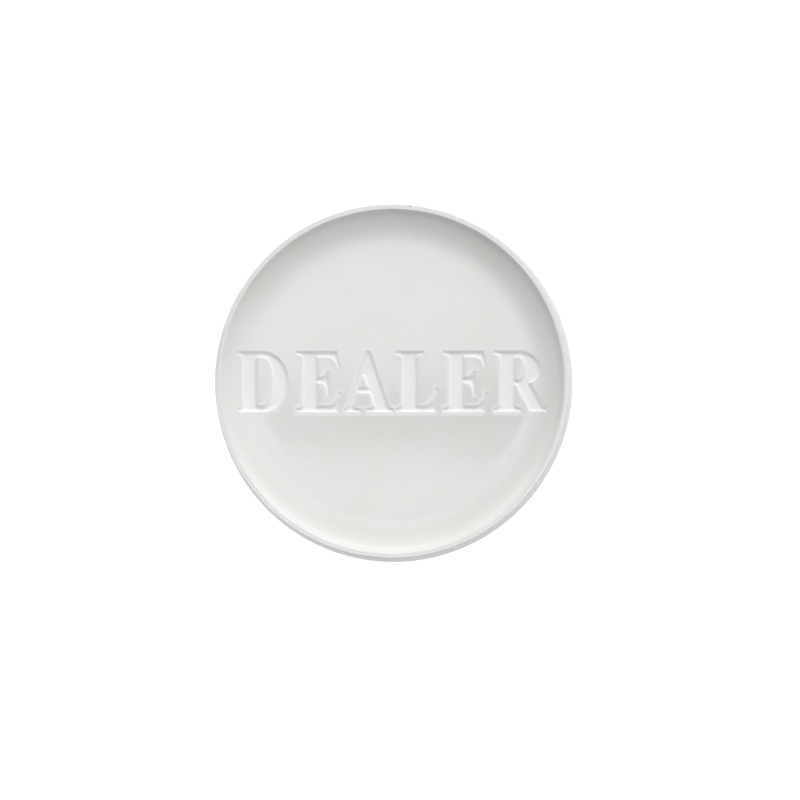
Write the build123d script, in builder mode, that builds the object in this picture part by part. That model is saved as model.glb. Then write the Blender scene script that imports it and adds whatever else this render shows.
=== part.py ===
from build123d import *
import os

# A dealer button: a thick white disc, dished alike on both faces, with the word that names the
# dealer's seat sunk into each face and lined with white enamel.
# Millimetres. The disc stands on its lower lip at z = 0, centred on the Z axis, and the lettering of
# the upper face reads along +X.

# --- disc ---------------------------------------------------------------------------------------
PUCK_DIAMETER = 76.2  # 3 in, at the parting line half-way up the outer wall
PUCK_THICKNESS = 19.05  # 3/4 in
PUCK_RADIUS = PUCK_DIAMETER / 2
WALL_DRAFT_RUN = 0.62  # how far the outer wall leans in from the parting line to each lip plane
LIP_WIDTH = 0.98  # level top of the rim, between its two corners before they are rounded
SHOULDER_ROUND = 0.15  # round between the outer wall and each lip
LIP_EDGE_ROUND = 0.15  # round on the inner edge of each lip

# --- dish in each face ----------------------------------------------------------------------------
RIM_STEP_HEIGHT = 1.0  # steep wall just inside the lip
RIM_STEP_RUN = 1.1  # radial run of that steep wall
RIM_STEP_BLEND = 3.0  # blend between the steep wall and the cove below it
COVE_RADIUS = 14.5  # concave arc that rises from the floor to the steep wall
FLOOR_RADIUS = 28.9  # radius of the nearly flat middle of the dish
HOLLOW_RADIUS = 900.0  # very slight concave curve of that middle

LIP_OUTER_RADIUS = PUCK_RADIUS - WALL_DRAFT_RUN
LIP_INNER_RADIUS = LIP_OUTER_RADIUS - LIP_WIDTH
COVE_OUTER_RADIUS = LIP_INNER_RADIUS - RIM_STEP_RUN
# the cove's arc runs on from the floor's without a bend, so its centre lies a little inside
COVE_CENTRE_RADIUS = FLOOR_RADIUS * (1 - COVE_RADIUS / HOLLOW_RADIUS)
COVE_RISE = (COVE_RADIUS**2 - (FLOOR_RADIUS - COVE_CENTRE_RADIUS) ** 2) ** 0.5 - (
    COVE_RADIUS**2 - (COVE_OUTER_RADIUS - COVE_CENTRE_RADIUS) ** 2
) ** 0.5
FLOOR_EDGE_DEPTH = RIM_STEP_HEIGHT + COVE_RISE
HOLLOW_DEPTH = HOLLOW_RADIUS - (HOLLOW_RADIUS**2 - FLOOR_RADIUS**2) ** 0.5
DISH_DEPTH = FLOOR_EDGE_DEPTH + HOLLOW_DEPTH

# --- letters --------------------------------------------------------------------------------------
POCKET_DEPTH = 0.65  # depth of a letter below the dished surface
ENAMEL_THICKNESS = 0.15  # coat on the floor of a letter
PRISM_DEPTH = DISH_DEPTH + 2 * POCKET_DEPTH  # from the lip plane to below every letter floor

CAP_HEIGHT = 12.9
STEM_WIDTH = 3.4  # thick strokes
HAIRLINE = 1.3  # thin strokes
SERIF_REACH = 1.25  # how far a serif stands out from its stroke
SERIF_TIP = 0.75  # height of a serif at its tip
SERIF_BRACKET = 1.9  # height at which a serif's curve meets an upright stroke
LEG_BRACKET = 1.3  # the same on a slanted stroke
COUNTER_ROUND = 0.45  # inner corners of a closed counter

TOP = CAP_HEIGHT / 2
BASE = -CAP_HEIGHT / 2

# Left edge of each letter's first stroke, from the centre of the word.
WORD = [
    ("d", -32.1),
    ("e", -19.2),
    ("a", -10.2),
    ("l", 1.9),
    ("e", 11.9),
    ("r", 22.7),
]

# The lip planes of the two faces, each with its normal pointing out of the disc. Turning the disc
# over about the Y axis brings the lower face's lettering upright.
FACES = {
    "front": Plane(origin=(0, 0, PUCK_THICKNESS), x_dir=(1, 0, 0), z_dir=(0, 0, 1)),
    "back": Plane(origin=(0, 0, 0), x_dir=(-1, 0, 0), z_dir=(0, 0, -1)),
}


# --- strokes of the letters, each added to the open sketch --------------------------------------------
def stem(left, width=STEM_WIDTH):
    """Upright stroke over the full height of the capitals."""
    with Locations((left + width / 2, 0)):
        Rectangle(width, CAP_HEIGHT)


def serif(root, tip, edge, bracket=SERIF_BRACKET, lean=0.0):
    """Bracketed serif on the line y = edge, from inside its stroke to the tip.

    root is where the stroke's side meets that line, and lean is the side's run along X for each
    unit of height.
    """
    inward = -1 if edge > 0 else 1
    side = 1 if tip > root else -1
    joint_x = root + lean * bracket
    overlap = side * HAIRLINE / 2
    with BuildLine() as outline:
        Polyline(
            (joint_x, edge + inward * bracket),
            (joint_x - overlap, edge + inward * bracket),
            (root - overlap, edge),
            (tip, edge),
            (tip, edge + inward * SERIF_TIP),
        )
        Bezier(
            (tip, edge + inward * SERIF_TIP),
            (root + lean * SERIF_TIP, edge + inward * SERIF_TIP),
            (joint_x, edge + inward * bracket),
        )
    make_face(outline.edges())


def arm(left, right, centre):
    """Thin level stroke."""
    with Locations(((left + right) / 2, centre)):
        Rectangle(right - left, HAIRLINE)


def beak(edge, arm_y, inner, corner, tip, tip_width):
    """Pointed end of an arm: from its outer corner on y = edge to a tip turned up or down.

    arm_y is the arm's free side, where the curve that thickens the beak starts at x = inner.
    """
    tip_x, tip_y = tip
    with BuildLine() as outline:
        Polyline((inner, arm_y), (inner, edge), (corner, edge), (tip_x, tip_y), (tip_x - tip_width, tip_y))
        Bezier((tip_x - tip_width, tip_y), (tip_x - 1.5 * tip_width, arm_y), (inner, arm_y))
    make_face(outline.edges())


def slanted_stroke(top_left, base_left, width, top=TOP, base=BASE, mode=Mode.ADD):
    """Straight slanted stroke, with its width measured along X."""
    with BuildLine() as outline:
        Polyline(
            (top_left, top),
            (base_left, base),
            (base_left + width, base),
            (top_left + width, top),
            close=True,
        )
    make_face(outline.edges(), mode=mode)


def half_ellipse(centre_x, centre_y, reach, rise, drop, left):
    """Bowl or counter: straight from x = left to centre_x, then rounded on the right."""
    with BuildLine() as outline:
        Line((left, centre_y - drop), (centre_x, centre_y - drop))
        EllipticalCenterArc((centre_x, centre_y), reach, drop, start_angle=270, arc_size=90)
        EllipticalCenterArc((centre_x, centre_y), reach, rise, start_angle=0, arc_size=90)
        Line((centre_x, centre_y + rise), (left, centre_y + rise))
        Line((left, centre_y + rise), (left, centre_y - drop))
    make_face(outline.edges())


def counter(centre_x, centre_y, reach, rise, drop):
    """Closed inner shape of a bowl, from the stem's right side, with its left corners rounded."""
    with BuildSketch() as hole:
        half_ellipse(centre_x, centre_y, reach, rise, drop, STEM_WIDTH)
        fillet(hole.vertices().group_by(Axis.X)[0], COUNTER_ROUND)
    return hole.sketch


# --- the letters, each with the left edge of its first stroke at x = 0 ------------------------------------
def letter_d():
    bowl_x = 4.5
    bowl_reach = 5.5
    with BuildSketch() as letter:
        half_ellipse(bowl_x, 0, bowl_reach, TOP, TOP, left=STEM_WIDTH / 2)
        add(
            counter(bowl_x, 0, bowl_reach - STEM_WIDTH, TOP - HAIRLINE, TOP - HAIRLINE),
            mode=Mode.SUBTRACT,
        )
        stem(0)
        serif(0, -0.85, TOP)
        serif(0, -0.85, BASE)
    return letter.sketch


def letter_e():
    middle_y = 0.3
    middle_right = 5.7
    with BuildSketch() as letter:
        stem(0)
        serif(0, -SERIF_REACH, TOP)
        serif(0, -SERIF_REACH, BASE)
        arm(STEM_WIDTH / 2, 5.5, TOP - HAIRLINE / 2)
        beak(TOP, TOP - HAIRLINE, 5.2, corner=7.45, tip=(7.95, 3.3), tip_width=0.6)
        arm(STEM_WIDTH / 2, middle_right - 0.3, middle_y)
        for tip_y, side in ((2.1, 1), (-2.75, -1)):
            beak(
                middle_y - side * HAIRLINE / 2,
                middle_y + side * HAIRLINE / 2,
                3.9,
                corner=middle_right,
                tip=(middle_right, tip_y),
                tip_width=0.5,
            )
        arm(STEM_WIDTH / 2, 5.7, BASE + HAIRLINE / 2)
        beak(BASE, BASE + HAIRLINE, 5.4, corner=7.65, tip=(8.3, -2.35), tip_width=0.6)
    return letter.sketch


def letter_a():
    slope = 0.337  # run of both legs for each unit of height
    spread = slope * CAP_HEIGHT
    thin_left = 4.6
    thin_width = 1.35
    thick_right = 5.5
    thick_width = 3.25
    thick_left = thick_right - thick_width
    apex_drop = (thin_left + thin_width - thick_right) / (2 * slope)
    with BuildSketch() as letter:
        slanted_stroke(thick_left, thick_left + spread, thick_width)
        # what of the thick leg stands to the left of the thin one is cut away
        slanted_stroke(
            thin_left - thick_width,
            thin_left - spread - thick_width,
            thick_width,
            mode=Mode.SUBTRACT,
        )
        slanted_stroke(
            thin_left - slope * apex_drop,
            thin_left - spread,
            thin_width,
            top=TOP - apex_drop,
        )
        arm(2.6, 7.0, -1.8)
        serif(thin_left - spread, 0, BASE, LEG_BRACKET, slope)
        serif(thin_left - spread + thin_width, 3.4, BASE, LEG_BRACKET, slope)
        serif(thick_left + spread, 4.7, BASE, LEG_BRACKET, -slope)
        serif(thick_right + spread, 10.4, BASE, LEG_BRACKET, -slope)
    return letter.sketch


def letter_l():
    with BuildSketch() as letter:
        stem(0)
        serif(0, -SERIF_REACH, TOP)
        serif(STEM_WIDTH, STEM_WIDTH + SERIF_REACH, TOP)
        serif(0, -SERIF_REACH, BASE)
        arm(STEM_WIDTH / 2, 5.3, BASE + HAIRLINE / 2)
        beak(BASE, BASE + HAIRLINE, 5.0, corner=7.4, tip=(7.85, -1.4), tip_width=0.6)
    return letter.sketch


def letter_r():
    bowl_x = 4.1
    bowl_y = 2.2
    bowl_drop = 3.05
    counter_x = 3.9
    counter_y = 2.65
    leg_top = -0.4
    leg_top_left = 3.3
    leg_base_left = 6.4
    leg_slope = (leg_base_left - leg_top_left) / (leg_top - BASE)
    with BuildSketch() as letter:
        half_ellipse(bowl_x, bowl_y, 4.65, TOP - bowl_y, bowl_drop, left=STEM_WIDTH / 2)
        add(
            counter(counter_x, counter_y, 1.25, TOP - HAIRLINE - counter_y, 2.35),
            mode=Mode.SUBTRACT,
        )
        stem(0)
        slanted_stroke(leg_top_left, leg_base_left, STEM_WIDTH, top=leg_top)
        serif(0, -SERIF_REACH, TOP)
        serif(0, -SERIF_REACH, BASE)
        serif(STEM_WIDTH, STEM_WIDTH + SERIF_REACH, BASE)
        serif(leg_base_left + STEM_WIDTH, 10.1, BASE, LEG_BRACKET, -leg_slope)
    return letter.sketch


OUTLINES = {
    "d": letter_d(),
    "e": letter_e(),
    "a": letter_a(),
    "l": letter_l(),
    "r": letter_r(),
}


# --- the plain disc ---------------------------------------------------------------------------------
with BuildPart() as blank:
    middle = Plane(origin=(0, 0, PUCK_THICKNESS / 2), x_dir=(1, 0, 0), z_dir=(0, -1, 0))
    with BuildSketch(middle) as profile:
        lip_y = PUCK_THICKNESS / 2
        floor_edge_y = lip_y - FLOOR_EDGE_DEPTH
        floor_y = lip_y - DISH_DEPTH
        with BuildLine():
            Polyline(
                (0, floor_y),
                (0, 0),
                (PUCK_RADIUS, 0),
                (LIP_OUTER_RADIUS, lip_y),
                (LIP_INNER_RADIUS, lip_y),
                (COVE_OUTER_RADIUS, lip_y - RIM_STEP_HEIGHT),
            )
            RadiusArc(
                (COVE_OUTER_RADIUS, lip_y - RIM_STEP_HEIGHT),
                (FLOOR_RADIUS, floor_edge_y),
                COVE_RADIUS,
            )
            RadiusArc((FLOOR_RADIUS, floor_edge_y), (0, floor_y), HOLLOW_RADIUS)
        make_face()
        for corner_radius, corner_y, corner_round in (
            (LIP_OUTER_RADIUS, lip_y, SHOULDER_ROUND),
            (LIP_INNER_RADIUS, lip_y, LIP_EDGE_ROUND),
            (COVE_OUTER_RADIUS, lip_y - RIM_STEP_HEIGHT, RIM_STEP_BLEND),
        ):
            corner = profile.vertices().sort_by_distance((corner_radius, corner_y, 0))[0]
            fillet(corner, corner_round)
        mirror(about=Plane.XZ)
    revolve(axis=Axis.Z)


def sunk_blank(face, depth):
    """The plain disc moved inward from one face, so that its dish lies that deep below the real one."""
    return blank.part.moved(Location(face.z_dir * -depth))


def letter_pocket(face, outline, left):
    """What is cut out of one face for a letter: its floor follows the dish at the pocket's depth."""
    with BuildPart() as pocket:
        with BuildSketch(face):
            with Locations((left, 0)):
                add(outline)
        extrude(amount=-PRISM_DEPTH)
        add(sunk_blank(face, POCKET_DEPTH), mode=Mode.SUBTRACT)
    return pocket.part


# --- enamel in each letter, and the pockets for the disc ----------------------------------------------
os.makedirs("parts", exist_ok=True)
pockets = []
for side, face in FACES.items():
    for place, (char, left) in enumerate(WORD, start=1):
        pocket = letter_pocket(face, OUTLINES[char], left)
        pockets.append(pocket)
        with BuildPart() as enamel:
            add(pocket)
            add(sunk_blank(face, POCKET_DEPTH - ENAMEL_THICKNESS), mode=Mode.INTERSECT)
        enamel.part.label = f"{side}_enamel_{place}_{char}"
        export_step(enamel.part, f"parts/{enamel.part.label}.step")

# --- the disc ---------------------------------------------------------------------------------------
with BuildPart() as puck_body:
    add(blank.part)
    for pocket in pockets:
        add(pocket, mode=Mode.SUBTRACT)
puck_body.part.label = "puck_body"
export_step(puck_body.part, "parts/puck_body.step")
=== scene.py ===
import math

import bpy
import numpy as np
from mathutils import Matrix, Vector, geometry


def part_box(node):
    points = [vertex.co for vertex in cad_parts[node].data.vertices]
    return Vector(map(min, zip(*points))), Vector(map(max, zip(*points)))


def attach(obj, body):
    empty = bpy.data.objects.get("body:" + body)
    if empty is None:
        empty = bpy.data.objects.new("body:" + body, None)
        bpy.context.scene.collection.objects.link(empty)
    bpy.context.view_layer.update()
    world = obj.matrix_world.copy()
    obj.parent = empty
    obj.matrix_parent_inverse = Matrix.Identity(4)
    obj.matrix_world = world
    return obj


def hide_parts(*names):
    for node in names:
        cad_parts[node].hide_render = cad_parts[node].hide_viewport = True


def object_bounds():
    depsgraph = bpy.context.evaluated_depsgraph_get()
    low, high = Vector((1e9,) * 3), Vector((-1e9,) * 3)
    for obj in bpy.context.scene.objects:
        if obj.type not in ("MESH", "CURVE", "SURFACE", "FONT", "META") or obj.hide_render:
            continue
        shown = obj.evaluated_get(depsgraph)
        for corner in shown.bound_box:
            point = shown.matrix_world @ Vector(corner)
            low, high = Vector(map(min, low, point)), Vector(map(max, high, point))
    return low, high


# A dealer button: a polished white disc whose two dished faces carry a word cut with bevelled
# strokes and painted with matt white enamel. The two faces are alike, so each mesh is made for the
# upper face and turned over for the lower one. Lengths are in millimetres until a mesh is made.

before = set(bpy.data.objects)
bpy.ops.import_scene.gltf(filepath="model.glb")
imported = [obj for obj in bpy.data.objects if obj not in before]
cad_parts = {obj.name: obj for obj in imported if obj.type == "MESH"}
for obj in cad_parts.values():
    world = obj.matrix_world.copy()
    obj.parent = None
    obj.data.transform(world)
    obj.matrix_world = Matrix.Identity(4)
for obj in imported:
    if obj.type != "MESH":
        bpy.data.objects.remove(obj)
cad_low, cad_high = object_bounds()

MM = 0.001
PUCK_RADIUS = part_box("puck_body")[1].x / MM
TOP_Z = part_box("puck_body")[1].z / MM
MIDDLE_Z = TOP_Z / 2

# --- profile of the rim and the dish, as the CAD has it -------------------------------------------
WALL_DRAFT_RUN = 0.62
LIP_WIDTH = 0.98
SHOULDER_ROUND = 0.15
LIP_EDGE_ROUND = 0.15
RIM_STEP_HEIGHT = 1.0
RIM_STEP_RUN = 1.1
RIM_STEP_BLEND = 3.0
COVE_RADIUS = 14.5
FLOOR_RADIUS = 28.9
HOLLOW_RADIUS = 900.0  # slight concave curve of the dish floor
DISH_EASE = 0.9  # not in the CAD: softens the line where the floor turns into the cove

LIP_OUTER_RADIUS = PUCK_RADIUS - WALL_DRAFT_RUN
LIP_INNER_RADIUS = LIP_OUTER_RADIUS - LIP_WIDTH
COVE_OUTER_RADIUS = LIP_INNER_RADIUS - RIM_STEP_RUN
COVE_CENTRE_RADIUS = FLOOR_RADIUS * (1 - COVE_RADIUS / HOLLOW_RADIUS)
COVE_SPAN = COVE_OUTER_RADIUS - COVE_CENTRE_RADIUS
COVE_CENTRE_Z = TOP_Z - RIM_STEP_HEIGHT + math.sqrt(COVE_RADIUS**2 - COVE_SPAN**2)
FLOOR_EDGE_Z = COVE_CENTRE_Z - math.sqrt(COVE_RADIUS**2 - (FLOOR_RADIUS - COVE_CENTRE_RADIUS) ** 2)
HOLLOW_CENTRE_Z = FLOOR_EDGE_Z + math.sqrt(HOLLOW_RADIUS**2 - FLOOR_RADIUS**2)
FLOOR_Z = HOLLOW_CENTRE_Z - HOLLOW_RADIUS

# --- how a letter is cut and painted --------------------------------------------------------------
WALL_RUN = 0.5  # width of a letter's bevel, which falls at 45 degrees
EDGE_SOFTNESS = 0.07  # rounding where a bevel meets the face and the letter's floor
COAT_THICKNESS = 0.12
COAT_FEATHER = 0.2  # how far in from the outline the coat reaches its full thickness

# --- mesh density ---------------------------------------------------------------------------------
RING_STEPS = 360
FACE_RADIUS = 33.9  # the lettered part of the face, inside which the mesh follows the letters
OUTLINE_STEP = 0.2
CORNER_ANGLE = math.radians(25)
OUTSIDE_ROWS = (0.07, 0.16, 0.32)
INSIDE_ROWS = (0.05, 0.12, 0.2, 0.3, 0.4, 0.5, 0.6, 0.72, 0.92)
MITRE_ROWS = INSIDE_ROWS[:7]  # how far in the creases at a letter's corners are followed
CLOSEST_POINTS = 0.045
ON_ROW = 0.004  # how far a point may lie from the row it belongs to
FAN_STEP = 0.12  # spacing of a row's points where it turns round a corner
DISH_STEP = 0.85
LETTER_FLOOR_STEP = 0.5
GRID_GAP_INSIDE = 0.2  # clear strip between a letter's last row and the grid on its floor
GRID_GAP_OUTSIDE = 0.15  # the same on the open dish
GRID_GAP_COVE = 0.3  # the same between the dish's grid and the cove's first circle
COVE_CIRCLES = 11
COVE_CIRCLE_STEPS = 240
STRAIGHT_BEND = 0.002  # bend below which a point of an outline lies on a straight run
OUTLINE_REACH = 1.0  # distance within which a point's depth in a letter is worked out
FAR_OUTSIDE = -9.0  # depth given to every other point
BLOCK_SIZE = 1500  # points worked out at a time
SMALLEST_TRIANGLE = 1e-7  # twice the area, in square millimetres
OUTLINE_MARGIN = 0.001  # depth below which a point of the plan lies on an outline
SHELL_SHARE = 0.9  # share of the coat's thickness that its shell has, clear of the plastic

# --- rows of the rim ------------------------------------------------------------------------------
# places on a straight run are shares of the way along it
STEP_WALL_SHARES = (0.45, 0.65, 0.82)
OUTER_WALL_SHARES = (0.15, 0.35, 0.55, 0.75, 0.92)
COVE_ROWS = 4
BLEND_STEPS = 5
LIP_EDGE_STEPS = 4
SHOULDER_STEPS = 6

FRONT_LETTERS = sorted(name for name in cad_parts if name.startswith("front_enamel"))
BACK_LETTERS = sorted(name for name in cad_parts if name.startswith("back_enamel"))


# --- outlines of the letters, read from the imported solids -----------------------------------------
def cap_loops(node):
    """Closed loops, in plan, round the upward-facing top of a letter's solid."""
    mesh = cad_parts[node].data
    places = {}
    index = []
    for vertex in mesh.vertices:
        key = tuple(round(c / MM, 3) for c in vertex.co)
        index.append(places.setdefault(key, len(places)))
    points = np.array(list(places))
    half_edges = set()
    for polygon in mesh.polygons:
        if polygon.normal.z > 0.5:
            corners = [index[v] for v in polygon.vertices]
            for a, b in zip(corners, corners[1:] + corners[:1]):
                half_edges.add((a, b))
    follows = {a: b for a, b in half_edges if (b, a) not in half_edges}
    loops = []
    while follows:
        start = min(follows)
        loop = [start]
        step = follows.pop(start)
        while step != start:
            loop.append(step)
            step = follows.pop(step)
        loops.append(points[loop][:, :2])
    return loops


def without_straight_points(loop):
    """The loop without the points that lie on a straight run between their neighbours."""
    before = loop - np.roll(loop, 1, axis=0)
    after = np.roll(loop, -1, axis=0) - loop
    turn = before[:, 0] * after[:, 1] - before[:, 1] * after[:, 0]
    bend = np.abs(turn) / (np.hypot(*before.T) * np.hypot(*after.T))
    return loop[bend > STRAIGHT_BEND]


def turning(loop):
    """Signed turn at each point of a closed loop: positive is to the left."""
    before = loop - np.roll(loop, 1, axis=0)
    after = np.roll(loop, -1, axis=0) - loop
    cross = before[:, 0] * after[:, 1] - before[:, 1] * after[:, 0]
    return np.arctan2(cross, (before * after).sum(axis=1))


def smoothed(loop):
    """Even, finely spaced points along the loop, with its corners kept and its curves rounded."""
    count = len(loop)
    corner = np.abs(turning(loop)) > CORNER_ANGLE
    fine = []
    fine_corner = []
    for i in range(count):
        a, b = loop[i], loop[(i + 1) % count]
        chord = b - a
        length = float(np.hypot(*chord))
        before = chord if corner[i] else b - loop[i - 1]
        after = chord if corner[(i + 1) % count] else loop[(i + 2) % count] - a
        start_slope = before / np.hypot(*before) * length
        end_slope = after / np.hypot(*after) * length
        steps = max(1, math.ceil(length / OUTLINE_STEP))
        for k in range(steps):
            t = k / steps
            point = (
                (2 * t**3 - 3 * t**2 + 1) * a
                + (t**3 - 2 * t**2 + t) * start_slope
                + (3 * t**2 - 2 * t**3) * b
                + (t**3 - t**2) * end_slope
            )
            fine.append(point)
            fine_corner.append(bool(corner[i]) and k == 0)
    return np.array(fine), np.array(fine_corner)


class Letter:
    """A letter's outline, with its inside on the left of every loop."""

    def __init__(self, node):
        self.node = node
        self.loops = []
        self.corners = []
        for loop in cap_loops(node):
            points, corner = smoothed(without_straight_points(loop))
            self.loops.append(points)
            self.corners.append(corner)
        self.starts = np.vstack(self.loops)
        self.ends = np.vstack([np.roll(loop, -1, axis=0) for loop in self.loops])
        self.low = self.starts.min(axis=0)
        self.high = self.starts.max(axis=0)

    def depth_in(self, points):
        """Distance of each point from the outline, positive inside the letter."""
        result = np.full(len(points), FAR_OUTSIDE)
        above = points > self.low - OUTLINE_REACH
        below = points < self.high + OUTLINE_REACH
        near = np.all(above & below, axis=1)
        chosen = np.nonzero(near)[0]
        along = self.ends - self.starts
        squared = (along**2).sum(axis=1)
        for block in np.array_split(chosen, max(1, len(chosen) // BLOCK_SIZE)):
            if not len(block):
                continue
            p = points[block][:, None, :]
            share = np.clip(((p - self.starts) * along).sum(axis=2) / squared, 0, 1)
            offset = p - (self.starts + share[:, :, None] * along)
            distance = np.sqrt((offset**2).sum(axis=2).min(axis=1))
            y = p[:, :, 1]
            crosses = (self.starts[:, 1] > y) != (self.ends[:, 1] > y)
            rise = np.where(along[:, 1] == 0, 1.0, along[:, 1])
            at_x = self.starts[:, 0] + (y - self.starts[:, 1]) / rise * along[:, 0]
            inside = (crosses & (p[:, :, 0] < at_x)).sum(axis=1) % 2 == 1
            result[block] = np.where(inside, distance, -distance)
        return result


letters = [Letter(name) for name in FRONT_LETTERS]


def depths(points):
    """Each point's depth in the letter that it is in or nearest to, and that letter's number."""
    table = np.array([letter.depth_in(points) for letter in letters])
    owner = table.argmax(axis=0)
    return table[owner, np.arange(len(points))], owner


# --- heights --------------------------------------------------------------------------------------
def hollow_height(radius):
    return HOLLOW_CENTRE_Z - np.sqrt(HOLLOW_RADIUS**2 - radius**2)


def cove_height(radius):
    return COVE_CENTRE_Z - np.sqrt(COVE_RADIUS**2 - (radius - COVE_CENTRE_RADIUS) ** 2)


def dish_height(radius):
    """Height of the undecorated dish: the floor's slight hollow, and the cove added to it."""
    eased = FLOOR_RADIUS + DISH_EASE * np.logaddexp(0, (radius - FLOOR_RADIUS) / DISH_EASE)
    return hollow_height(radius) + cove_height(eased) - hollow_height(eased)


def bevel_drop(depth):
    """How far the painted surface lies below the dish, for a distance inside an outline."""
    upper = np.logaddexp(0, depth / EDGE_SOFTNESS)
    lower = np.logaddexp(0, (depth - WALL_RUN) / EDGE_SOFTNESS)
    return EDGE_SOFTNESS * (upper - lower)


def coat(depth):
    """Thickness of the enamel for a distance inside an outline."""
    share = np.clip(depth / COAT_FEATHER, 0, 1)
    return COAT_THICKNESS * share * (2 - share)


# --- points of the lettered face ------------------------------------------------------------------
class PointSet:
    """Points of the plan, none of them too close to an earlier one."""

    def __init__(self):
        self.points = []
        self.cells = {}

    def cell(self, point):
        return (math.floor(point[0] / CLOSEST_POINTS), math.floor(point[1] / CLOSEST_POINTS))

    def near(self, point):
        column, row = self.cell(point)
        for i in range(column - 1, column + 2):
            for j in range(row - 1, row + 2):
                for k in self.cells.get((i, j), ()):
                    other = self.points[k]
                    if math.dist(point, other) < CLOSEST_POINTS:
                        return True
        return False

    def add(self, point, always=False):
        """The new point's number, or None if it was left out."""
        point = (float(point[0]), float(point[1]))
        if not always and self.near(point):
            return None
        number = len(self.points)
        self.points.append(point)
        self.cells.setdefault(self.cell(point), []).append(number)
        return number


def offset_points(letter, distance):
    """Points at a distance inside the outline (negative: outside), with fans round its corners."""
    side = 1 if distance > 0 else -1
    made = []
    for loop, corner in zip(letter.loops, letter.corners):
        before = loop - np.roll(loop, 1, axis=0)
        after = np.roll(loop, -1, axis=0) - loop
        before /= np.hypot(*before.T)[:, None]
        after /= np.hypot(*after.T)[:, None]
        turn = turning(loop)
        for i, point in enumerate(loop):
            inward_before = np.array([-before[i][1], before[i][0]])
            inward_after = np.array([-after[i][1], after[i][0]])
            if not corner[i]:
                normal = inward_before + inward_after
                made.append(point + normal / np.hypot(*normal) * distance)
                continue
            if turn[i] * side > 0:
                # the offset line has a plain corner here
                normal = inward_before + inward_after
                normal = normal / (1 + inward_before @ inward_after)
                made.append(point + normal * distance)
                continue
            start = math.atan2(inward_before[1], inward_before[0])
            steps = max(2, math.ceil(abs(turn[i]) * abs(distance) / FAN_STEP))
            for k in range(steps + 1):
                angle = start + turn[i] * k / steps
                made.append(point + distance * np.array([math.cos(angle), math.sin(angle)]))
    made = np.array(made)
    true_depth = letter.depth_in(made)
    return made[np.abs(true_depth - distance) < ON_ROW]


def mitre_lines(letter):
    """Creases that run inward from each outward corner, as far as the bevels that meet there."""
    lines = []
    for loop, corner in zip(letter.loops, letter.corners):
        turn = turning(loop)
        for i in np.nonzero(corner & (turn > 0))[0]:
            to_before = loop[i - 1] - loop[i]
            to_after = loop[(i + 1) % len(loop)] - loop[i]
            bisector = to_before / np.hypot(*to_before) + to_after / np.hypot(*to_after)
            bisector /= np.hypot(*bisector)
            rise = math.sin((math.pi - turn[i]) / 2)
            goals = np.array(MITRE_ROWS)
            points = loop[i] + (goals / rise)[:, None] * bisector
            good = np.abs(letter.depth_in(points) - goals) < ON_ROW
            count = len(goals) if good.all() else int(np.argmin(good))
            if count:
                lines.append((i, loop, points[:count]))
    return lines


def hexagonal_grid(step, low, high):
    rows = np.arange(low[1], high[1], step * math.sqrt(3) / 2)
    points = []
    for k, y in enumerate(rows):
        xs = np.arange(low[0] + (k % 2) * step / 2, high[0], step)
        points.append(np.column_stack([xs, np.full(len(xs), y)]))
    return np.vstack(points)


def face_plan():
    """Plan of the lettered face: its points and its triangles."""
    chosen = PointSet()
    edges = []
    ring = []
    for k in range(RING_STEPS):
        angle = 2 * math.pi * k / RING_STEPS
        point = (FACE_RADIUS * math.cos(angle), FACE_RADIUS * math.sin(angle))
        ring.append(chosen.add(point, always=True))
    edges += list(zip(ring, ring[1:] + ring[:1]))
    outline_number = {}
    for letter in letters:
        for loop in letter.loops:
            numbers = [chosen.add(point, always=True) for point in loop]
            edges += list(zip(numbers, numbers[1:] + numbers[:1]))
            outline_number.update({(id(loop), i): n for i, n in enumerate(numbers)})
    for letter in letters:
        for i, loop, points in mitre_lines(letter):
            last = outline_number[(id(loop), i)]
            for point in points:
                number = chosen.add(point, always=True)
                edges.append((last, number))
                last = number
    for letter in letters:
        for distance in [*INSIDE_ROWS, *(-d for d in OUTSIDE_ROWS)]:
            for point in offset_points(letter, distance):
                chosen.add(point)
    low = np.array([-FACE_RADIUS, -FACE_RADIUS])
    floor_grid = hexagonal_grid(LETTER_FLOOR_STEP, low, -low)
    depth, _ = depths(floor_grid)
    for point in floor_grid[depth > INSIDE_ROWS[-1] + GRID_GAP_INSIDE]:
        chosen.add(point)
    dish_grid = hexagonal_grid(DISH_STEP, low, -low)
    depth, _ = depths(dish_grid)
    radius = np.hypot(*dish_grid.T)
    clear_of_letters = -OUTSIDE_ROWS[-1] - GRID_GAP_OUTSIDE
    open_dish = (depth < clear_of_letters) & (radius < FLOOR_RADIUS - GRID_GAP_COVE)
    for point in dish_grid[open_dish]:
        chosen.add(point)
    for radius in np.linspace(FLOOR_RADIUS, FACE_RADIUS, COVE_CIRCLES + 1)[:-1]:
        angles = np.arange(0, 2 * math.pi, 2 * math.pi / COVE_CIRCLE_STEPS)
        circle = radius * np.column_stack([np.cos(angles), np.sin(angles)])
        depth, _ = depths(circle)
        for point in circle[depth < clear_of_letters]:
            chosen.add(point)
    plan = geometry.delaunay_2d_cdt([Vector(p) for p in chosen.points], edges, [], 0, 1e-6)
    points = np.array([tuple(p) for p in plan[0]])
    triangles = np.array([tuple(f) for f in plan[2]])
    corners = points[triangles]
    sides = corners[:, 1:] - corners[:, :1]
    area = sides[:, 0, 0] * sides[:, 1, 1] - sides[:, 0, 1] * sides[:, 1, 0]
    kept = np.abs(area) > SMALLEST_TRIANGLE
    triangles = triangles[kept]
    area = area[kept]
    triangles[area < 0] = triangles[area < 0][:, ::-1]
    return points, triangles


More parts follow.
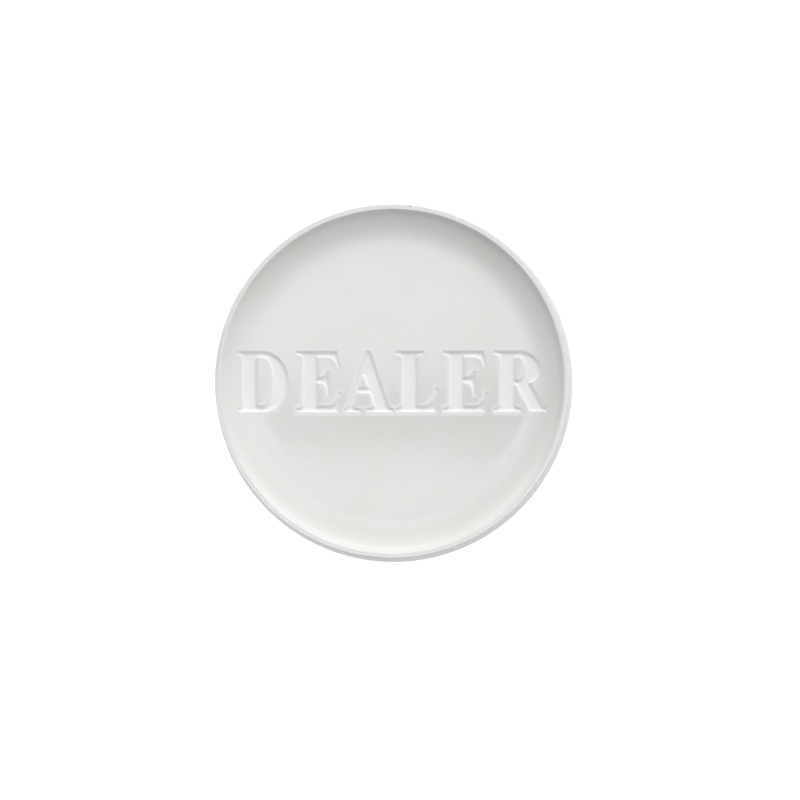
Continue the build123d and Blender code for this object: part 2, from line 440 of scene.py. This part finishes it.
plan_points, plan_triangles = face_plan()
plan_depth, _ = depths(plan_points)
centre_depth, centre_owner = depths(plan_points[plan_triangles].mean(axis=1))
plan_radius = np.hypot(*plan_points.T)
plan_surface = dish_height(plan_radius) - bevel_drop(plan_depth)
plan_surface = np.where(plan_depth < -OUTSIDE_ROWS[-1], dish_height(plan_radius), plan_surface)
plan_body = plan_surface - coat(plan_depth)


# --- making objects -------------------------------------------------------------------------------
def turned_over(points):
    """The upper face's points as they lie on the lower face."""
    return points * np.array([-1, 1, -1]) + np.array([0, 0, TOP_Z])


def make_object(name, points, faces, material):
    mesh = bpy.data.meshes.new(name)
    mesh.from_pydata((np.asarray(points) * MM).tolist(), [], [list(map(int, f)) for f in faces])
    mesh.validate()
    mesh.polygons.foreach_set("use_smooth", np.ones(len(mesh.polygons), bool))
    mesh.materials.append(material)
    obj = bpy.data.objects.new(name, mesh)
    bpy.context.scene.collection.objects.link(obj)
    return obj


def round_corner(corner, before, after, radius, steps):
    """Points of an arc that rounds a profile's corner between the directions to its neighbours."""
    corner, before, after = (np.array(p, float) for p in (corner, before, after))
    to_before = (before - corner) / np.hypot(*(before - corner))
    to_after = (after - corner) / np.hypot(*(after - corner))
    half = math.acos(float(to_before @ to_after)) / 2
    bisector = (to_before + to_after) / np.hypot(*(to_before + to_after))
    centre = corner + bisector * radius / math.sin(half)
    start = corner + to_before * radius / math.tan(half) - centre
    end = corner + to_after * radius / math.tan(half) - centre
    first = math.atan2(start[1], start[0])
    sweep = (math.atan2(end[1], end[0]) - first + math.pi) % (2 * math.pi) - math.pi
    return [
        tuple(centre + radius * np.array([math.cos(a), math.sin(a)]))
        for a in np.linspace(first, first + sweep, steps + 1)
    ]


def step_blend(foot, inner):
    """Points of the arc that blends the cove into the steep wall from its foot to the lip."""
    cove_centre = np.array([COVE_CENTRE_RADIUS, COVE_CENTRE_Z])
    along = np.array(inner) - foot
    along /= np.hypot(*along)
    normal = np.array([-along[1], along[0]])
    # the blend's centre is this far from the wall's line and, along it, from the foot
    level = np.array(foot) + normal * RIM_STEP_BLEND - cove_centre
    reach = COVE_RADIUS - RIM_STEP_BLEND
    run = -(level @ along) - math.sqrt((level @ along) ** 2 - level @ level + reach**2)
    centre = cove_centre + level + along * run
    start = (centre - cove_centre) / reach
    first = math.atan2(start[1], start[0])
    last = math.atan2(-normal[1], -normal[0])
    return [
        tuple(centre + RIM_STEP_BLEND * np.array([math.cos(a), math.sin(a)]))
        for a in np.linspace(first, last, BLEND_STEPS + 1)
    ]


def points_between(start, end, shares):
    """Points on a straight run, each at its share of the way from the start to the end."""
    run = np.array(end) - start
    return [tuple(np.array(start) + share * run) for share in shares]


def rim_profile():
    """(radius, height) points of the upper half of the rim, from the lettered face outward."""
    step_foot = (COVE_OUTER_RADIUS, TOP_Z - RIM_STEP_HEIGHT)
    inner = (LIP_INNER_RADIUS, TOP_Z)
    outer = (LIP_OUTER_RADIUS, TOP_Z)
    waist = (PUCK_RADIUS, MIDDLE_Z)
    blend = step_blend(step_foot, inner)
    cove_radii = np.linspace(FACE_RADIUS, blend[0][0], COVE_ROWS + 1)[:-1]
    profile = [(radius, float(dish_height(radius))) for radius in cove_radii]
    profile += blend
    profile += points_between(step_foot, inner, STEP_WALL_SHARES)
    profile += round_corner(inner, step_foot, outer, LIP_EDGE_ROUND, LIP_EDGE_STEPS)
    profile += round_corner(outer, inner, waist, SHOULDER_ROUND, SHOULDER_STEPS)
    profile += points_between(profile[-1], waist, OUTER_WALL_SHARES)
    return profile


def parting_line():
    """The last points above mid-height, where the two halves of the mould leave a faint ridge."""
    ridge_rise = 0.04
    return [
        (PUCK_RADIUS - ridge_rise - 0.02, MIDDLE_Z + 0.22),
        (PUCK_RADIUS - ridge_rise, MIDDLE_Z + 0.14),
        (PUCK_RADIUS - ridge_rise * 0.3, MIDDLE_Z + 0.09),
        (PUCK_RADIUS, MIDDLE_Z + 0.04),
    ]


def lathe_rows(profile):
    """A ring of points for each (radius, height) of the profile."""
    angles = np.arange(RING_STEPS) * 2 * math.pi / RING_STEPS
    rows = []
    for radius, height in profile:
        level = np.full(RING_STEPS, height)
        rows.append(np.column_stack([radius * np.cos(angles), radius * np.sin(angles), level]))
    return rows


def band_faces(first, second):
    """Quads between two rings whose first point numbers are given, facing outward."""
    faces = []
    for k in range(RING_STEPS):
        after = (k + 1) % RING_STEPS
        faces.append((first + k, second + k, second + after, first + after))
    return faces


def make_body(material):
    profile = rim_profile()[1:] + parting_line()
    rows = lathe_rows(profile)
    face_points = np.column_stack([plan_points, plan_body])
    half_points = np.vstack([face_points, *rows])
    half_count = len(half_points)
    faces = [tuple(t) for t in plan_triangles]
    first_row = len(face_points)
    faces += band_faces(0, first_row)
    for k in range(len(rows) - 1):
        faces += band_faces(first_row + k * RING_STEPS, first_row + (k + 1) * RING_STEPS)
    points = np.vstack([half_points, turned_over(half_points)])
    faces += [tuple(half_count + v for v in face) for face in faces]
    upper_waist = half_count - RING_STEPS
    lower_waist = half_count + upper_waist
    for k in range(RING_STEPS):
        after = (k + 1) % RING_STEPS
        # turning over takes the ring's point k to the angle of point half a turn minus k
        below = (RING_STEPS // 2 - k) % RING_STEPS
        below_after = (RING_STEPS // 2 - after) % RING_STEPS
        upper_side = (upper_waist + k, upper_waist + after)
        lower_side = (lower_waist + below, lower_waist + below_after)
        faces.append((upper_side[0], *lower_side, upper_side[1]))
    body = make_object("puck", points, faces, material)
    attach(body, "root")
    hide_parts("puck_body")


def make_enamel(number, node, material, lower_face):
    """One letter's coat of paint: a thin shell whose two sides meet at the letter's outline."""
    inside = plan_triangles[(centre_depth > 0) & (centre_owner == number)]
    used = np.unique(inside)
    place = {int(v): k for k, v in enumerate(used)}
    top = np.column_stack([plan_points[used], plan_surface[used]])
    rim = plan_depth[used] < OUTLINE_MARGIN
    hidden = np.nonzero(~rim)[0]
    under_place = {int(v): len(used) + k for k, v in enumerate(hidden)}
    thickness = SHELL_SHARE * coat(plan_depth[used][hidden])
    under = np.column_stack([plan_points[used][hidden], plan_surface[used][hidden] - thickness])
    points = np.vstack([top, under])
    faces = []
    for triangle in inside:
        a, b, c = (place[int(v)] for v in triangle)
        faces.append((a, b, c))
        below = [under_place.get(v, v) for v in (c, b, a)]
        if set(below) != {a, b, c}:
            faces.append(tuple(below))
    if lower_face:
        points = turned_over(points)
    piece = make_object(node.replace("enamel", "letter"), points, faces, material)
    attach(piece, "root")
    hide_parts(node)


# --- materials ------------------------------------------------------------------------------------
class Nodes:
    """Small helper for building a material's node tree."""

    def __init__(self, name):
        self.material = bpy.data.materials.new(name)
        self.material.use_nodes = True
        self.tree = self.material.node_tree
        self.tree.nodes.clear()
        self.place = self.add("ShaderNodeTexCoord").outputs["Object"]

    def add(self, kind, inputs=None, **settings):
        node = self.tree.nodes.new(kind)
        for key, value in settings.items():
            setattr(node, key, value)
        for key, value in (inputs or {}).items():
            self.put(node.inputs[key], value)
        return node

    def put(self, socket, value):
        if isinstance(value, bpy.types.NodeSocket):
            self.tree.links.new(value, socket)
        else:
            socket.default_value = value

    def noise(self, scale, detail=3.0, roughness=0.5, vector=None):
        node = self.add("ShaderNodeTexNoise", {"Vector": vector or self.place, "Scale": scale})
        self.put(node.inputs["Detail"], detail)
        self.put(node.inputs["Roughness"], roughness)
        return node.outputs["Fac"]

    def remap(self, value, low, high, to_low, to_high):
        node = self.add("ShaderNodeMapRange", {"Value": value, "From Min": low, "From Max": high})
        self.put(node.inputs["To Min"], to_low)
        self.put(node.inputs["To Max"], to_high)
        return node.outputs["Result"]

    def math(self, operation, first, second=0.0):
        node = self.add("ShaderNodeMath", {0: first, 1: second}, operation=operation)
        return node.outputs["Value"]

    def mix(self, share, first, second):
        node = self.add("ShaderNodeMix", data_type="RGBA")
        self.put(node.inputs[0], share)
        self.put(node.inputs[6], first)
        self.put(node.inputs[7], second)
        return node.outputs[2]

    def stretched(self, scale, turn):
        node = self.add(
            "ShaderNodeMapping",
            {"Vector": self.place, "Scale": scale, "Rotation": (0.0, 0.0, turn)},
        )
        return node.outputs["Vector"]

    def spot(self, centre, radius):
        """1 at a place on the object, falling to 0 at the radius; both in millimetres."""
        offset = self.add(
            "ShaderNodeVectorMath",
            {0: self.place, 1: tuple(c * MM for c in centre)},
            operation="DISTANCE",
        )
        return self.remap(offset.outputs["Value"], radius * 0.6 * MM, radius * MM, 1.0, 0.0)


    def surface(self, inputs):
        """The shader that everything else leads to, and the material's output."""
        shader = self.add("ShaderNodeBsdfPrincipled", inputs)
        output = self.add("ShaderNodeOutputMaterial")
        self.put(output.inputs["Surface"], shader.outputs["BSDF"])
        return shader


def plastic_material():
    """White plastic, polished but with fine scratches and a few dark specks."""
    nodes = Nodes("polished_plastic")
    mottle = nodes.noise(70.0, 4.0, 0.55)
    fine = nodes.noise(900.0, 3.0, 0.6)
    darker = (0.645, 0.642, 0.627, 1)
    lighter = (0.665, 0.662, 0.649, 1)
    speckle = (0.61, 0.606, 0.588, 1)
    colour = nodes.mix(nodes.remap(mottle, 0.35, 0.65, 0.0, 1.0), darker, lighter)
    colour = nodes.mix(nodes.remap(fine, 0.3, 0.75, 0.0, 0.25), colour, speckle)
    specks = [
        # centre and radius in millimetres, strength
        ((3.9, 37.0, TOP_Z), 0.22, 0.6),
        ((-3.2, -11.0, FLOOR_Z), 0.16, 0.45),
        ((-18.5, -13.1, FLOOR_Z), 0.14, 0.4),
        ((-11.3, -2.4, FLOOR_Z), 0.13, 0.35),
        ((17.6, -0.9, FLOOR_Z), 0.13, 0.35),
    ]
    for centre, radius, strength in specks:
        share = nodes.math("MULTIPLY", nodes.spot(centre, radius), strength)
        colour = nodes.mix(share, colour, (0.12, 0.11, 0.10, 1))

    rough = nodes.remap(nodes.noise(140.0, 5.0, 0.6), 0.3, 0.7, 0.028, 0.042)
    scratches = None
    for turn, scale in ((0.4, 1.0), (1.9, 1.3), (-0.7, 0.8)):
        vector = nodes.stretched((60.0 * scale, 2600.0 * scale, 60.0), turn)
        line = nodes.noise(1.0, 1.0, 0.4, vector)
        line = nodes.remap(line, 0.72, 0.78, 0.0, 1.0)
        scratches = line if scratches is None else nodes.math("MAXIMUM", scratches, line)
    rough = nodes.math("ADD", rough, nodes.math("MULTIPLY", scratches, 0.05))

    peel = nodes.noise(260.0, 2.0, 0.4)
    grain = nodes.noise(2400.0, 2.0, 0.5)
    height = nodes.math("MULTIPLY", peel, 0.3)
    height = nodes.math("ADD", height, nodes.math("MULTIPLY", grain, 0.02))
    height = nodes.math("SUBTRACT", height, nodes.math("MULTIPLY", scratches, 0.02))
    bump = nodes.add("ShaderNodeBump", {"Strength": 0.25, "Distance": 0.00002, "Height": height})
    nodes.surface(
        {"Base Color": colour, "Roughness": rough, "IOR": 1.58, "Normal": bump.outputs["Normal"]}
    )
    return nodes.material


def enamel_material():
    """Matt white paint, cooler in colour than the plastic."""
    nodes = Nodes("matt_enamel")
    cloud = nodes.noise(150.0, 4.0, 0.6)
    grain = nodes.noise(2600.0, 4.0, 0.65)
    darker = (0.745, 0.757, 0.75, 1)
    lighter = (0.77, 0.782, 0.775, 1)
    speckle = (0.70, 0.712, 0.705, 1)
    colour = nodes.mix(nodes.remap(cloud, 0.35, 0.65, 0.0, 1.0), darker, lighter)
    colour = nodes.mix(nodes.remap(grain, 0.3, 0.7, 0.0, 0.2), colour, speckle)
    rough = nodes.remap(grain, 0.3, 0.7, 0.5, 0.62)
    bump = nodes.add("ShaderNodeBump", {"Strength": 0.3, "Distance": 0.00003, "Height": grain})
    nodes.surface(
        {"Base Color": colour, "Roughness": rough, "IOR": 1.45, "Normal": bump.outputs["Normal"]}
    )
    return nodes.material


plastic = plastic_material()
enamel = enamel_material()
make_body(plastic)
for number, (front_name, back_name) in enumerate(zip(FRONT_LETTERS, BACK_LETTERS)):
    make_enamel(number, front_name, enamel, lower_face=False)
    make_enamel(number, back_name, enamel, lower_face=True)


# --- floor, light and camera ----------------------------------------------------------------------
def make_floor():
    """A plain pale floor, 8 m across."""
    nodes = Nodes("pale_floor")
    tone = nodes.noise(3.0, 2.0, 0.5)
    colour = nodes.mix(tone, (0.34, 0.34, 0.34, 1), (0.36, 0.36, 0.36, 1))
    shader = nodes.surface(
        {"Base Color": colour, "Roughness": 0.9, "Emission Color": (1.0, 1.0, 1.0, 1.0)}
    )
    # the floor looks white but sends less light back up the disc's wall
    seen = nodes.add("ShaderNodeLightPath").outputs["Is Camera Ray"]
    nodes.put(shader.inputs["Emission Strength"], nodes.remap(seen, 0.0, 1.0, 0.45, 0.85))
    half = 4.0
    corners = [(-half, -half, 0), (half, -half, 0), (half, half, 0), (-half, half, 0)]
    mesh = bpy.data.meshes.new("floor")
    mesh.from_pydata(corners, [], [(0, 1, 2, 3)])
    mesh.materials.append(nodes.material)
    floor = bpy.data.objects.new("floor", mesh)
    bpy.context.scene.collection.objects.link(floor)


class WorldNodes:
    """Small helper for sums and products of numbers in the world's node tree."""

    def __init__(self, tree):
        self.tree = tree
        self.direction = tree.nodes.new("ShaderNodeTexCoord").outputs["Generated"]

    def put(self, socket, value):
        if isinstance(value, bpy.types.NodeSocket):
            self.tree.links.new(value, socket)
        else:
            socket.default_value = value

    def math(self, operation, first, second=0.0):
        node = self.tree.nodes.new("ShaderNodeMath")
        node.operation = operation
        self.put(node.inputs[0], first)
        self.put(node.inputs[1], second)
        return node.outputs["Value"]

    def along(self, axis):
        """How far the ray's direction goes along a unit vector."""
        node = self.tree.nodes.new("ShaderNodeVectorMath")
        node.operation = "DOT_PRODUCT"
        self.put(node.inputs[0], self.direction)
        self.put(node.inputs[1], axis)
        return node.outputs["Value"]

    def glow(self, strength, from_top, around, narrowness):
        """Round glow in the sky, brightest in one direction."""
        from_top, around = math.radians(from_top), math.radians(around)
        axis = (
            math.sin(from_top) * math.cos(around),
            math.sin(from_top) * math.sin(around),
            math.cos(from_top),
        )
        facing = self.math("MAXIMUM", self.along(axis), 0.0)
        return self.math("MULTIPLY", self.math("POWER", facing, narrowness), strength)

    def shade(self, depth, centre, half_size):
        """Share of light left by a soft dark bar overhead; its sizes are slopes along X and Y."""
        total = 0.0
        for k, axis in enumerate(((1.0, 0.0, 0.0), (0.0, 1.0, 0.0))):
            offset = self.math("SUBTRACT", self.along(axis), centre[k])
            offset = self.math("DIVIDE", offset, half_size[k])
            # even along its length, with a soft edge on both long sides
            offset = self.math("POWER", self.math("ABSOLUTE", offset), 4.0 if k == 0 else 2.0)
            total = self.math("ADD", offset, total)
        bell = self.math("EXPONENT", self.math("MULTIPLY", total, -1.0))
        return self.math("SUBTRACT", 1.0, self.math("MULTIPLY", bell, depth))


def make_world():
    """A soft studio: broad glows overhead and a low bank from the right round to the upper left.

    Soft dark bars hang overhead. The polished dish mirrors two of them as a band along the word,
    darker at its right end, and the third, wide and faint, in the cove's foot below the word.
    """
    ambient = 0.28
    glows = [
        # strength, degrees from overhead, degrees round from +X, narrowness
        (2.15, 4.0, 134.0, 12.0),
        (0.8, 4.0, 134.0, 30.0),
        (1.9, 28.0, 0.0, 14.0),
        (1.4, 72.0, 0.0, 10.0),
        (2.3, 72.0, 45.0, 10.0),
        (2.7, 72.0, 90.0, 10.0),
        (2.6, 72.0, 135.0, 10.0),
    ]
    shades = [
        # depth, centre, half size
        (1.0, (-0.10, 0.0562), (0.12, 0.0114)),
        (0.85, (-0.105, 0.058), (0.04, 0.018)),
        (0.32, (-0.04, 0.13), (0.25, 0.06)),
    ]
    world = bpy.data.worlds.new("studio")
    world.use_nodes = True
    world.node_tree.nodes.clear()
    nodes = WorldNodes(world.node_tree)
    strength = ambient
    for glow in glows:
        strength = nodes.math("ADD", nodes.glow(*glow), strength)
    for shade in shades:
        strength = nodes.math("MULTIPLY", nodes.shade(*shade), strength)
    # the camera itself sees a plain white backdrop
    seen = nodes.tree.nodes.new("ShaderNodeLightPath").outputs["Is Camera Ray"]
    unseen = nodes.math("SUBTRACT", 1.0, seen)
    strength = nodes.math("ADD", nodes.math("MULTIPLY", strength, unseen), seen)
    background = nodes.tree.nodes.new("ShaderNodeBackground")
    nodes.put(background.inputs["Strength"], strength)
    output = nodes.tree.nodes.new("ShaderNodeOutputWorld")
    nodes.put(output.inputs["Surface"], background.outputs["Background"])
    bpy.context.scene.world = world


def make_camera():
    """A long lens that looks almost straight down on the disc."""
    tilt = math.radians(3.43)
    toward = math.radians(-46.2)
    distance = 1.2
    aim_point = Vector((0.001733, -0.00402, cad_high.z))
    data = bpy.data.cameras.new("camera")
    data.sensor_width = 36.0
    data.lens = 255.37
    data.clip_start = 0.01
    data.clip_end = 20.0
    camera = bpy.data.objects.new("camera", data)
    back = Vector(
        (math.sin(tilt) * math.cos(toward), math.sin(tilt) * math.sin(toward), math.cos(tilt))
    )
    bpy.context.scene.collection.objects.link(camera)
    right = Vector((0.0, 1.0, 0.0)).cross(back).normalized()
    up = back.cross(right)
    turn = Matrix((right, up, back)).transposed().to_4x4()
    camera.matrix_world = Matrix.Translation(aim_point + back * distance) @ turn
    bpy.context.scene.camera = camera


make_floor()
make_world()
make_camera()
bpy.context.scene.view_settings.view_transform = "Standard"
